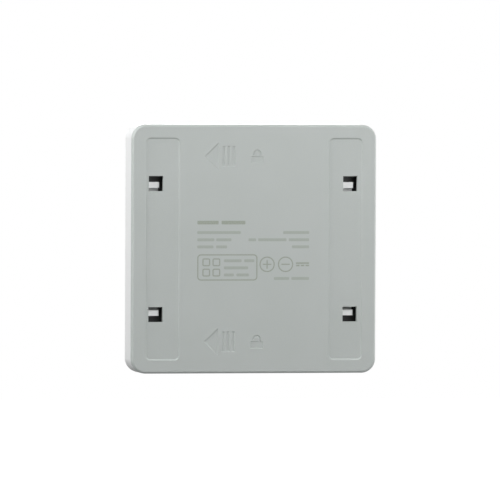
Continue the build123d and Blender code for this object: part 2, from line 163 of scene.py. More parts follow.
@dataclass(frozen=True)
class MouldedPlastic(Finish):
    """ABS or nylon out of a spark-eroded mould: a fine even grain under a low, wide sheen."""

    shade: str
    # The real grain is about 0.05 mm, too fine to show, so it is drawn coarser.
    grain_mm: float = 0.32
    relief_mm: float = 0.03
    cloud_mm: float = 17.0
    speck: float = 0.025
    roughness: float = 0.46
    sheen_break: float = 0.1
    ior: float = 1.54

    def look(self, tree: Tree, place: Node) -> Inputs:
        """Draws the grain, with its specks and its gloss, over a slow change of tone.

        Args:
            tree: The tree to draw in.
            place: The coordinates in millimetres.

        Returns:
            The shader's inputs.
        """
        fine = {"Vector": place, "Scale": 1 / self.grain_mm, "Detail": 3.0, "Roughness": 0.6}
        grain = add_node(tree, "TexNoise", fine)
        slow = {"Vector": place, "Scale": 1 / self.cloud_mm, "Detail": 2.0, "Roughness": 0.5}
        tones = {0: add_node(tree, "TexNoise", slow), 6: linear(self.face), 7: linear(self.shade)}
        tone = add_node(tree, "Mix", tones, data_type="RGBA")
        span = {"Value": grain, "From Min": 0.3, "From Max": 0.7}
        specks = {**span, "To Min": 1 - self.speck, "To Max": 1 + self.speck}
        speckled = {0: 1.0, 6: tone, 7: add_node(tree, "MapRange", specks)}
        swing = self.sheen_break / 2
        gloss = {**span, "To Min": self.roughness - swing, "To Max": self.roughness + swing}
        relief = {"Height": grain, "Distance": self.relief_mm * MM, "Strength": 1.0}
        return {
            "Base Color": add_node(tree, "Mix", speckled, data_type="RGBA", blend_type="MULTIPLY"),
            "Roughness": add_node(tree, "MapRange", gloss),
            "IOR": self.ior,
            "Normal": add_node(tree, "Bump", relief),
        }


@dataclass(frozen=True)
class PadInk(Finish):
    """Pad-printed ink: thin, matt, and a little broken where the mould grain shows through."""

    ground: str
    # The real breaks in the ink are about 0.1 mm, so they too are drawn coarser.
    speck_mm: float = 0.3
    most_ground: float = 0.45
    roughness: float = 0.6
    ior: float = 1.5

    def look(self, tree: Tree, place: Node) -> Inputs:
        """Draws the breaks in the ink.

        Args:
            tree: The tree to draw in.
            place: The coordinates in millimetres.

        Returns:
            The shader's inputs.
        """
        fine = {"Vector": place, "Scale": 1 / self.speck_mm, "Detail": 2.0}
        speck = add_node(tree, "TexNoise", fine)
        cover = {"Value": speck, "From Min": 0.35, "From Max": 0.75, "To Max": self.most_ground}
        tones = {0: add_node(tree, "MapRange", cover), 6: linear(self.face), 7: linear(self.ground)}
        colour = add_node(tree, "Mix", tones, data_type="RGBA")
        return {"Base Color": colour, "Roughness": self.roughness, "IOR": self.ior}


@dataclass(frozen=True)
class SolderMask(Finish):
    """Epoxy-glass board under liquid mask: dark, half glossy, with the weave just felt."""

    track: str
    # Glass cloth of this kind has about two threads a millimetre.
    weave_mm: float = 0.6
    relief_mm: float = 0.006
    track_mm: float = 1.9
    roughness: float = 0.32
    ior: float = 1.55

    def look(self, tree: Tree, place: Node) -> Inputs:
        """Draws the weave, and paler bands where copper runs under the mask.

        Args:
            tree: The tree to draw in.
            place: The coordinates in millimetres.

        Returns:
            The shader's inputs.
        """
        threads = {"Vector": place, "Scale": 1 / self.weave_mm, "Distortion": 0.4}
        weave = add_node(tree, "TexWave", threads, wave_type="BANDS", bands_direction="DIAGONAL")
        turned = add_node(tree, "Mapping", {"Vector": place, "Rotation": (math.pi / 2, 0.0, 0.0)})
        bands = {
            "Vector": turned,
            "Color1": BLACK,
            "Color2": BLACK,
            "Mortar": WHITE,
            "Scale": 1 / self.track_mm,
            "Mortar Size": 0.09,
            "Brick Width": 3.1,
            "Row Height": 1.0,
        }
        tones = {0: add_node(tree, "TexBrick", bands), 6: linear(self.face), 7: linear(self.track)}
        height = weave.outputs["Fac"]
        relief = {"Height": height, "Distance": self.relief_mm * MM, "Strength": 0.4}
        return {
            "Base Color": add_node(tree, "Mix", tones, data_type="RGBA"),
            "Roughness": self.roughness,
            "IOR": self.ior,
            "Normal": add_node(tree, "Bump", relief),
        }


@dataclass(frozen=True)
class PlatedSheet(Finish):
    """Plated sheet or turned metal: bright, with fine drawn lines that smear the highlight."""

    # Real drawing lines are a few hundredths of a millimetre, so they are drawn coarser.
    line_mm: float = 0.25
    relief_mm: float = 0.004
    roughness: float = 0.3

    def look(self, tree: Tree, place: Node) -> Inputs:
        """Draws the lines, which change the tone and the gloss.

        Args:
            tree: The tree to draw in.
            place: The coordinates in millimetres.

        Returns:
            The shader's inputs.
        """
        stretched = add_node(tree, "Mapping", {"Vector": place, "Scale": (1.0, 1.0, 0.06)})
        fine = {"Vector": stretched, "Scale": 1 / self.line_mm, "Detail": 2.0}
        lines = add_node(tree, "TexNoise", fine)
        gloss = {"Value": lines, "To Min": self.roughness * 0.7, "To Max": self.roughness * 1.3}
        relief = {"Height": lines, "Distance": self.relief_mm * MM, "Strength": 0.4}
        tone = add_node(tree, "MapRange", {"Value": lines, "To Min": 0.9, "To Max": 1.05})
        lined = {0: 1.0, 6: linear(self.face), 7: tone}
        return {
            "Base Color": add_node(tree, "Mix", lined, data_type="RGBA", blend_type="MULTIPLY"),
            "Metallic": 1.0,
            "Roughness": add_node(tree, "MapRange", gloss),
            "Normal": add_node(tree, "Bump", relief),
        }


@dataclass(frozen=True)
class ClearResin(Finish):
    """Acrylic or clear epoxy: see-through, with a soft bloom from tiny bubbles."""

    # Real bubbles are about 0.05 mm, so the bloom is drawn coarser.
    bubble_mm: float = 0.4
    roughness: float = 0.12
    transmission: float = 0.6
    ior: float = 1.49

    def look(self, tree: Tree, place: Node) -> Inputs:
        """Draws the bloom.

        Args:
            tree: The tree to draw in.
            place: The coordinates in millimetres.

        Returns:
            The shader's inputs.
        """
        fine = {"Vector": place, "Scale": 1 / self.bubble_mm, "Detail": 1.0}
        bubbles = add_node(tree, "TexNoise", fine)
        gloss = {"Value": bubbles, "To Min": self.roughness * 0.6, "To Max": self.roughness * 1.6}
        return {
            "Base Color": linear(self.face),
            "Roughness": add_node(tree, "MapRange", gloss),
            "IOR": self.ior,
            "Transmission Weight": self.transmission,
        }


PLATE_ABS = MouldedPlastic("plate_abs", "#BABFBD", "#B4BAB7", roughness=0.5)
BODY_ABS = MouldedPlastic("body_abs", "#EFF0F0", "#ECEEED", roughness=0.42)
KEY_ABS = MouldedPlastic("key_abs", "#F1F2F2", "#EEEFEF", roughness=0.38, grain_mm=0.35)
TACT_NYLON = MouldedPlastic("tact_nylon", "#232425", "#1C1D1E", roughness=0.5)
PLUNGER_ACETAL = MouldedPlastic("plunger_acetal", "#E3E1DA", "#DAD8D0", roughness=0.35)
CHIP_EPOXY = MouldedPlastic("chip_epoxy", "#2A2A2C", "#222224", roughness=0.55, grain_mm=0.2)
CELL_SEAL = MouldedPlastic("cell_seal", "#3A3B3C", "#2F3031", roughness=0.5)
LED_CASE = MouldedPlastic("led_case", "#ECEAE4", "#E4E2DB", roughness=0.4, grain_mm=0.2)
BOARD_MASK = SolderMask("board_laminate", "#0F1112", "#1E2424")
RADIO_MASK = SolderMask("radio_laminate", "#14283C", "#1C3650")
LABEL_INK = PadInk("label_ink", "#969D90", "#B4BAB7")
ROW_INK = PadInk("row_ink", "#A3AAA2", "#B4BAB7")
KEY_INK = PadInk("key_ink", "#A9AEB0", "#E2E4E4")
GUIDE_ACRYLIC = ClearResin("guide_acrylic", "#E9EEEE")
LED_RESIN = ClearResin("led_resin", "#F4EFCB", transmission=0.3)


class Metal(Enum):
    """The bare metals inside the switch, with their finishes."""

    NICKEL_STRIP = PlatedSheet("contact_nickel", "#D8D3C6", roughness=0.28)
    CELL_CAN = PlatedSheet("cell_steel", "#CFCFCD", roughness=0.3)
    TINNED_LID = PlatedSheet("shield_steel", "#C6C8CA", roughness=0.35)
    ZINC_SCREW = PlatedSheet("screw_steel", "#B9BCC2", roughness=0.32)
    GOLD_PAD = PlatedSheet("gold_pad", "#D9B56A", roughness=0.3)


@contextmanager
def reshaping(mesh: Mesh) -> Iterator[Shape]:
    """Opens a mesh for bmesh operators and writes the outcome back.

    Args:
        mesh: The mesh to change.

    Yields:
        The open mesh.
    """
    shape = bmesh.new()
    shape.from_mesh(mesh)
    yield shape
    shape.to_mesh(mesh)
    shape.free()


def link_object(name: str, data: ID) -> Piece:
    """Puts a mesh, a curve, a lamp or a camera into the scene as an object at the origin.

    Args:
        name: The object's name.
        data: What it holds.

    Returns:
        The new object.
    """
    piece = bpy.data.objects.new(name, data)
    bpy.context.scene.collection.objects.link(piece)
    return piece


def join_loose(shape: Shape) -> None:
    """Joins the points of a mesh that lie together and drops the faces that this empties."""
    bmesh.ops.remove_doubles(shape, verts=shape.verts, dist=JOIN_DISTANCE)
    bmesh.ops.dissolve_degenerate(shape, edges=shape.edges, dist=JOIN_DISTANCE)


def welded_copy(node: str, name: str, *materials: Material) -> Piece:
    """Copies a solid's mesh with its loose triangles joined into whole faces.

    Args:
        node: The name of the solid.
        name: The name of the new piece.
        materials: The new piece's materials, with the one that its faces take first.

    Returns:
        The new piece, not yet riding on a body.
    """
    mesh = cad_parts[node].data.copy()
    mesh.name = name
    mesh.materials.clear()
    for material in materials:
        mesh.materials.append(material)
    mesh.attributes.remove(mesh.attributes["custom_normal"])
    flat = math.radians(FLAT_ANGLE)
    with reshaping(mesh) as shape:
        join_loose(shape)
        bmesh.ops.dissolve_limit(shape, angle_limit=flat, verts=shape.verts, edges=shape.edges)
    return link_object(name, mesh)


def soften(mesh: Mesh, turn: Pair, span: Pair, width: float, segments: int) -> None:
    """Rounds the edges of a mesh that turn and lie in a given way.

    Args:
        mesh: The mesh to change.
        turn: The least and the greatest angle between the faces beside an edge, in degrees.
        span: The least and the greatest depth of an edge along Y, in metres.
        width: The rounding's offset, in millimetres.
        segments: The number of steps in the rounding.
    """
    low, high = map(math.radians, turn)
    front, back = span
    with reshaping(mesh) as shape:
        edges = []
        for edge in shape.edges:
            inside = all(front < vert.co.y < back for vert in edge.verts)
            if inside and len(edge.link_faces) == 2 and low < edge.calc_face_angle(0.0) < high:
                edges.append(edge)
        settings = {"affect": "EDGES", "segments": segments, "clamp_overlap": True, **BEVEL}
        bmesh.ops.bevel(shape, geom=edges, offset=width * MM, **settings)


def level_with(place: float) -> Pair:
    """Gives the span of depths that counts as one level, in metres."""
    return (place - JOIN_DISTANCE, place + JOIN_DISTANCE)


def carve(piece: Piece, cutter: Piece) -> None:
    """Cuts one closed mesh out of another and deletes the cutter, whose material the cuts take.

    Args:
        piece: The piece that is cut.
        cutter: The closed mesh that is taken away.
    """
    cut = piece.modifiers.new("cut", "BOOLEAN")
    cut.operation = "DIFFERENCE"
    cut.solver = "EXACT"
    cut.use_self = True
    cut.object = cutter
    cut.material_mode = "TRANSFER"
    bpy.context.view_layer.update()
    graph = bpy.context.evaluated_depsgraph_get()
    carved = bpy.data.meshes.new_from_object(piece.evaluated_get(graph))
    piece.modifiers.clear()
    spent = (piece.data, cutter.data)
    piece.data = carved
    bpy.data.objects.remove(cutter)
    for mesh in spent:
        bpy.data.meshes.remove(mesh)
    with reshaping(carved) as shape:
        join_loose(shape)


class MarkSheet:
    """A sheet of flat marks that is drawn, thickened and cut into a face across Y.

    Places and sizes are in millimetres on the face, X across and then Z up.
    """

    LIFT = 0.3
    CORNER_STEPS = 6
    BOW_STEPS = 14
    # How far a padlock's bow stands in from its body's side, in widths of its line.
    BOW_MARGIN = 0.9
    # How tall a numeral stands in its type size, and how near its doubled points lie.
    NUMERAL_SHARE = 0.72
    NUMERAL_JOIN = 0.001

    def __init__(self, node: str, outward: int) -> None:
        """Starts an empty sheet.

        Args:
            node: The solid whose outermost face takes the marks.
            outward: 1 if that face looks towards +Y, and -1 if towards -Y.
        """
        self.shape = bmesh.new()
        self.face_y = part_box(node)[max(outward, 0)][1] / MM
        self.outward = outward

    def _keep(self, fresh: Shape) -> None:
        """Moves the faces of a drawing onto the sheet.

        Args:
            fresh: The drawing, which is closed.
        """
        mesh = bpy.data.meshes.new("mark")
        fresh.to_mesh(mesh)
        fresh.free()
        self.shape.from_mesh(mesh)
        bpy.data.meshes.remove(mesh)

    def _stand(self, fresh: Shape, at: Pair) -> None:
        """Stands a flat drawing up and moves its middle to a place."""
        bmesh.ops.rotate(fresh, matrix=UPRIGHT, verts=fresh.verts)
        bmesh.ops.translate(fresh, vec=(at[0], 0.0, at[1]), verts=fresh.verts)

    def _rectangle(self, at: Pair, size: Pair, corner: float) -> Shape:
        """Draws a rounded rectangle on its own.

        Args:
            at: The middle.
            size: The size.
            corner: The corner radius.

        Returns:
            The drawing.
        """
        fresh = bmesh.new()
        bmesh.ops.create_grid(fresh, x_segments=1, y_segments=1, size=0.5)
        bmesh.ops.scale(fresh, vec=(*size, 1.0), verts=fresh.verts)
        self._stand(fresh, at)
        if corner:
            settings = {"affect": "VERTICES", "segments": self.CORNER_STEPS, **BEVEL}
            bmesh.ops.bevel(fresh, geom=list(fresh.verts), offset=corner, **settings)
        return fresh

    def bar(self, at: Pair, size: Pair, corner: float = 0.0) -> None:
        """Draws a filled bar, rounded where a corner radius is given."""
        self._keep(self._rectangle(at, size, corner))

    def outline(self, at: Pair, size: Pair, corner: float, line: float) -> None:
        """Draws a rounded rectangle's outline.

        Args:
            at: The middle.
            size: The size outside the line.
            corner: The outer corner radius.
            line: The line's width.
        """
        fresh = self._rectangle(at, size, corner)
        inner = list(fresh.faces)
        bmesh.ops.inset_region(fresh, faces=inner, thickness=line, **INSET)
        bmesh.ops.delete(fresh, geom=inner, context="FACES")
        self._keep(fresh)

    def _extend(self, fresh: Shape, edges: list[Edge], step: Vector) -> list[Edge]:
        """Draws a straight run from some edges.

        Args:
            fresh: The drawing.
            edges: The edges that the run starts from.
            step: How far it goes.

        Returns:
            The edges at its end.
        """
        run = bmesh.ops.extrude_edge_only(fresh, edges=edges)["geom"]
        ends = [item for item in run if isinstance(item, Vert)]
        bmesh.ops.translate(fresh, vec=step, verts=ends)
        across = [item for item in run if isinstance(item, Edge)]
        return [edge for edge in across if all(vert in ends for vert in edge.verts)]

    def plus(self, at: Pair, reach: float, line: float) -> None:
        """Draws a plus sign.

        Args:
            at: The middle.
            reach: The length of each arm from the middle.
            line: The line's width.
        """
        fresh = self._rectangle(at, (line, line), 0.0)
        middle = Vector((at[0], 0.0, at[1]))
        for side in list(fresh.edges):
            out = (side.verts[0].co + side.verts[1].co) / 2 - middle
            self._extend(fresh, [side], out.normalized() * (reach - line / 2))
        self._keep(fresh)

    def padlock(self, at: Pair, size: Pair, line: float, rise: float) -> None:
        """Draws an open padlock: a solid body, and a bow that stands in it on one leg only.

        Args:
            at: The body's middle.
            size: The body's size.
            line: The width of the bow's line.
            rise: How far the standing leg rises before it bends.
        """
        width, height = size
        fresh = bmesh.new()
        bmesh.ops.create_grid(fresh, x_segments=3, y_segments=1, size=0.5)
        margin = line * self.BOW_MARGIN
        columns = (-width / 2, margin - width / 2, margin + line - width / 2, width / 2)
        for vert in fresh.verts:
            vert.co = Vector((columns[round((vert.co.x + 0.5) * 3)], 0.0, vert.co.y * height))
        top = [edge for edge in fresh.edges if all(vert.co.z > 0 for vert in edge.verts)]
        top.sort(key=lambda edge: sum(vert.co.x for vert in edge.verts))
        leg = self._extend(fresh, top[1:2], Vector((0.0, 0.0, rise)))
        ends = [vert for edge in leg for vert in edge.verts]
        reach = (width - 2 * margin - line) / 2
        centre = (columns[1] + line / 2 + reach, 0.0, height / 2 + rise)
        turn = {"axis": (0.0, 1.0, 0.0), "angle": math.pi, "steps": self.BOW_STEPS}
        bow = bmesh.ops.spin(fresh, geom=leg + ends, cent=centre, **turn)
        tip = [item for item in bow["geom_last"] if isinstance(item, Edge)]
        # The bow's free end stops well above the body.
        self._extend(fresh, tip, Vector((0.0, 0.0, -rise / 3)))
        bmesh.ops.translate(fresh, vec=(at[0], 0.0, at[1]), verts=fresh.verts)
        self._keep(fresh)

    def arrowhead(self, tip_x: float, base_x: float, z: float, height: float) -> None:
        """Draws a filled triangle that points along X.

        Args:
            tip_x: The tip's place across.
            base_x: The base's place across.
            z: The middle up.
            height: The length of the base.
        """
        fresh = bmesh.new()
        corners = [(tip_x, z), (base_x, z + height / 2), (base_x, z - height / 2)]
        fresh.faces.new([fresh.verts.new((cx, 0.0, cz)) for cx, cz in corners])
        self._keep(fresh)

    def meander(self, at: Pair, height: float, line: float, runs: int) -> None:
        """Draws a line that runs up and down, with gaps as wide as the line.

        Args:
            at: The middle.
            height: The height of the runs.
            line: The line's width.
            runs: The number of runs.
        """
        x, z = at
        columns = 2 * runs - 1
        fresh = bmesh.new()
        bmesh.ops.create_grid(fresh, x_segments=columns, y_segments=3, size=0.5)
        levels = (-height / 2, line - height / 2, height / 2 - line, height / 2)
        for vert in fresh.verts:
            level = levels[round((vert.co.y + 0.5) * 3)]
            vert.co = Vector((x + vert.co.x * columns * line, 0.0, z + level))
        first = x - columns * line / 2
        gaps = []
        for face in fresh.faces:
            middle = face.calc_center_median()
            column = int((middle.x - first) / line)
            # Between two runs only a turn stays, at the top and at the bottom by turns.
            above = (middle.z - z) * (1 if column % 4 == 1 else -1)
            if column % 2 and above < height / 2 - line:
                gaps.append(face)
        bmesh.ops.delete(fresh, geom=gaps, context="FACES")
        self._keep(fresh)

    def numeral(self, text: str, at: Pair, height: float) -> None:
        """Draws a plain numeral.

        Args:
            text: The numeral.
            at: The middle.
            height: The numeral's height.
        """
        curve = bpy.data.curves.new("numeral", "FONT")
        curve.body = text
        curve.align_x = "CENTER"
        curve.align_y = "CENTER"
        curve.size = height / self.NUMERAL_SHARE
        holder = link_object("numeral", curve)
        bpy.context.view_layer.update()
        graph = bpy.context.evaluated_depsgraph_get()
        mesh = bpy.data.meshes.new_from_object(holder.evaluated_get(graph))
        bpy.data.objects.remove(holder)
        bpy.data.curves.remove(curve)
        fresh = bmesh.new()
        fresh.from_mesh(mesh)
        bpy.data.meshes.remove(mesh)
        bmesh.ops.remove_doubles(fresh, verts=fresh.verts, dist=self.NUMERAL_JOIN)
        self._stand(fresh, at)
        self._keep(fresh)

    def cut(self, piece: Piece, depth: float, material: Material, lean: float = 0.0) -> None:
        """Thickens the drawn marks and cuts them into a piece.

        Args:
            piece: The piece that takes the marks.
            depth: How deep the marks go below the face, in millimetres.
            material: The finish of the cut faces.
            lean: How far the walls lean outwards over the depth, in millimetres.
        """
        shape = self.shape
        bmesh.ops.translate(shape, vec=(0.0, self.face_y, 0.0), verts=shape.verts)
        floors = list(shape.faces)
        lifted = bmesh.ops.extrude_face_region(shape, geom=floors, use_keep_orig=True)
        above = [item for item in lifted["geom"] if isinstance(item, Vert)]
        bmesh.ops.translate(shape, vec=(0.0, self.outward * self.LIFT, 0.0), verts=above)
        if lean:
            bmesh.ops.inset_region(shape, faces=floors, thickness=lean, **INSET)
        below = {vert for face in floors for vert in face.verts}
        bmesh.ops.translate(shape, vec=(0.0, -self.outward * depth, 0.0), verts=list(below))
        bmesh.ops.scale(shape, vec=(MM, MM, MM), verts=shape.verts)
        bmesh.ops.recalc_face_normals(shape, faces=shape.faces)
        mesh = bpy.data.meshes.new("marks")
        shape.to_mesh(mesh)
        shape.free()
        mesh.materials.append(material)
        carve(piece, link_object("marks", mesh))


def dress(node: str, material: Material) -> None:
    """Gives a solid that keeps its own mesh a finish.

    Args:
        node: The solid.
        material: The finish that its material slots take.
    """
    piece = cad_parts[node]
    if not piece.material_slots:
        piece.data.materials.append(material)
    for holder in piece.material_slots:
        holder.material = material
    LOG.info("dressed %s with %s", node, material.name)


def stand_in(piece: Piece, node: str, body: str, sharp_degrees: float = 28.0) -> None:
    """Shades a piece by its larger faces and lets it stand for a solid on its body.

    Args:
        piece: The finished piece.
        node: The solid that it replaces.
        body: The body that it rides on.
        sharp_degrees: The angle past which an edge stays sharp.
    """
    piece.data.shade_smooth()
    piece.data.set_sharp_from_angle(angle=math.radians(sharp_degrees))
    weighted = piece.modifiers.new("weighted", "WEIGHTED_NORMAL")
    weighted.mode = "FACE_AREA"
    weighted.weight = 100
    weighted.keep_sharp = True
    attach(piece, body)
    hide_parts(node)
    LOG.info("built %s for %s: %d faces", piece.name, node, len(piece.data.polygons))


def middle_of(node: str) -> Pair:
    """Gives the middle of a solid across and up, in millimetres."""
    low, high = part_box(node)
    return ((low[0] + high[0]) / 2 / MM, (low[2] + high[2]) / 2 / MM)


@dataclass
class OpeningMarks:
    """The engraved marks that show which way the plate slides: arrowhead, bars and padlock."""

    height: float = 32.05
    tip: float = 17.7
    base: float = 12.6
    base_height: float = 9.8
    bar_size: Pair = (1.15, 7.1)
    bar_pitch: float = 1.76
    first_bar: float = 10.83
    bars: int = 3
    lock_x: float = -0.9
    lock_size: Pair = (4.4, 2.5)
    lock_drop: float = 0.45
    lock_line: float = 0.75
    lock_rise: float = 0.7
    depth: float = 0.26
    wall_lean: float = 0.38
    lock_depth: float = 0.24
    lock_wall_lean: float = 0.22

    def engrave(self, plate: Piece, material: Material) -> None:
        """Cuts the lower and the upper marks into the plate's wall face.

        Args:
            plate: The plate.
            material: The finish of the cut faces.
        """
        arrows = MarkSheet("back_plate", 1)
        locks = MarkSheet("back_plate", 1)
        for level in (-self.height, self.height):
            arrows.arrowhead(self.tip, self.base, level, self.base_height)
            for index in range(self.bars):
                place = self.first_bar - index * self.bar_pitch
                arrows.bar((place, level), self.bar_size)
            lock_at = (self.lock_x, level - self.lock_size[1] * self.lock_drop)
            locks.padlock(lock_at, self.lock_size, self.lock_line, self.lock_rise)
        arrows.cut(plate, self.depth, material, self.wall_lean)
        locks.cut(plate, self.lock_depth, material, self.lock_wall_lean)


@dataclass
class LabelPrint:
    """The faint printed block in the middle of the plate.

    Plain dashes stand in lines, beside a plan of the four keys and the signs of the cell's poles
    and of direct current. A dash is given by its left end and its length.
    """

    title: tuple[Pair, ...] = ((20.1, 7.5), (11.6, 8.4))
    title_z: float = 9.15
    title_height: float = 1.25
    title_corner: float = 0.25
    rows: tuple[tuple[float, tuple[Pair, ...]], ...] = (
        (5.7, ((20.1, 15.3), (-10.1, 9.2))),
        (3.2, ((20.1, 6.0), (13.5, 5.4), (2.1, 2.7), (-1.3, 10.0), (-12.1, 7.2))),
        (0.75, ((20.1, 5.7), (13.5, 3.9), (-13.2, 6.1))),
        (-4.05, ((10.7, 6.2), (3.6, 3.6))),
        (-6.5, ((10.7, 8.5),)),
        (-8.95, ((10.7, 3.5), (6.3, 4.4))),
        (-10.2, ((-6.9, 5.4), (-13.1, 6.2))),
    )
    row_height: float = 1.0
    row_corner: float = 0.3
    panel_left: float = 20.1
    panel_size: Pair = (21.2, 9.1)
    panel_z: float = -6.35
    panel_corner: float = 1.3
    line: float = 0.42
    key_size: Pair = (2.75, 2.75)
    key_corner: float = 0.6
    key_pitch: float = 3.55
    sign_size: float = 5.4
    sign_z: float = -5.3
    sign_places: tuple[float, ...] = (-4.5, -11.0)
    sign_arm: float = 1.5
    current_x: float = -17.0
    current_length: float = 4.6
    current_weight: float = 1.3
    depth: float = 0.03

    def print_on(self, plate: Piece) -> None:
        """Prints the label: first the darker print, then the paler dashes in lines.

        Args:
            plate: The plate.
        """
        frames = MarkSheet("back_plate", 1)
        self._draw_panel(frames)
        self._draw_signs(frames)
        frames.cut(plate, self.depth, LABEL_INK.material())
        rows = MarkSheet("back_plate", 1)
        for level, dashes in self.rows:
            for left, length in dashes:
                dash = (length, self.row_height)
                rows.bar((left - length / 2, level), dash, self.row_corner)
        rows.cut(plate, self.depth, ROW_INK.material())

    def _draw_panel(self, sheet: MarkSheet) -> None:
        """Draws the title dashes, and the panel with its key plan.

        Args:
            sheet: The sheet that takes them.
        """
        for left, length in self.title:
            dash = (length, self.title_height)
            sheet.bar((left - length / 2, self.title_z), dash, self.title_corner)
        width, height = self.panel_size
        panel_at = (self.panel_left - width / 2, self.panel_z)
        sheet.outline(panel_at, self.panel_size, self.panel_corner, self.line)
        plan_x = self.panel_left - height / 2 - self.line
        for column, row in CORNERS:
            across = plan_x + column * self.key_pitch / 2
            level = self.panel_z + row * self.key_pitch / 2
            sheet.outline((across, level), self.key_size, self.key_corner, self.line)

    def _draw_signs(self, sheet: MarkSheet) -> None:
        """Draws the poles' signs, and a line over three dashes for direct current.

        Args:
            sheet: The sheet that takes them.
        """
        size, level = self.sign_size, self.sign_z
        for place in self.sign_places:
            sheet.outline((place, level), (size, size), size * DISC, self.line)
        pole_plus, pole_minus = self.sign_places
        sheet.plus((pole_plus, level), self.sign_arm, self.line)
        sheet.bar((pole_minus, level), (2 * self.sign_arm, self.line))
        # Three dashes of three parts and two gaps of one part make the line's eleven parts.
        gap = self.current_length / 11
        dash = 3 * gap
        weight = self.line * self.current_weight
        sheet.bar((self.current_x, level + gap), (self.current_length, weight))
        for index in (-1, 0, 1):
            sheet.bar((self.current_x + index * (dash + gap), level - gap), (dash, weight))


@dataclass
class WallPlate:
    """The light grey back plate that stays on the wall."""

    opening: OpeningMarks = field(default_factory=OpeningMarks)
    label: LabelPrint = field(default_factory=LabelPrint)
    edge_rounding: float = 0.16

    def build(self) -> None:
        """Engraves and prints a copy of the plate."""
        moulded = PLATE_ABS.material()
        plate = welded_copy("back_plate", "wall_plate_shell", moulded)
        soften(plate.data, CHAMFER, (-math.inf, math.inf), self.edge_rounding, segments=2)
        self.opening.engrave(plate, moulded)
        self.label.print_on(plate)
        stand_in(plate, "back_plate", "wall_plate")


@dataclass
class SwitchShell:
    """The white parts of the body: the deep outer frame and the housing behind the board."""

    edge_rounding: float = 0.22
    chamfer_depth: float = 1.2

    def build(self) -> None:
        """Builds both white shells with their moulded finish."""
        moulded = BODY_ABS.material()
        outer = welded_copy("front_frame", "outer_frame_shell", moulded)
        span = (-math.inf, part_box("front_frame")[0][1] + self.chamfer_depth * MM)
        soften(outer.data, CHAMFER, span, self.edge_rounding, segments=2)
        stand_in(outer, "front_frame", "switch_body")
        housing = welded_copy("rear_housing", "inner_housing_shell", moulded)
        stand_in(housing, "rear_housing", "switch_body")


@dataclass
class KeyBank:
    """The four sprung key caps with their numerals and light guides."""

    count: int = 4
    numeral_height: float = 5.0
    ink_depth: float = 0.03
    edge_rounding: float = 0.2
    chamfer_depth: float = 1.0

    def build(self) -> None:
        """Builds the caps and dresses the light guides."""
        moulded = KEY_ABS.material()
        ink = KEY_INK.material()
        clear = GUIDE_ACRYLIC.material()
        for number in range(1, self.count + 1):
            node = f"key_cap_{number}"
            cap = welded_copy(node, f"key_face_{number}", moulded)
            span = (-math.inf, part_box(node)[0][1] + self.chamfer_depth * MM)
            soften(cap.data, CHAMFER, span, self.edge_rounding, segments=2)
            sheet = MarkSheet(node, -1)
            sheet.numeral(str(number), middle_of(node), self.numeral_height)
            sheet.cut(cap, self.ink_depth, ink)
            stand_in(cap, node, f"key_{number}")
            dress(f"light_guide_{number}", clear)


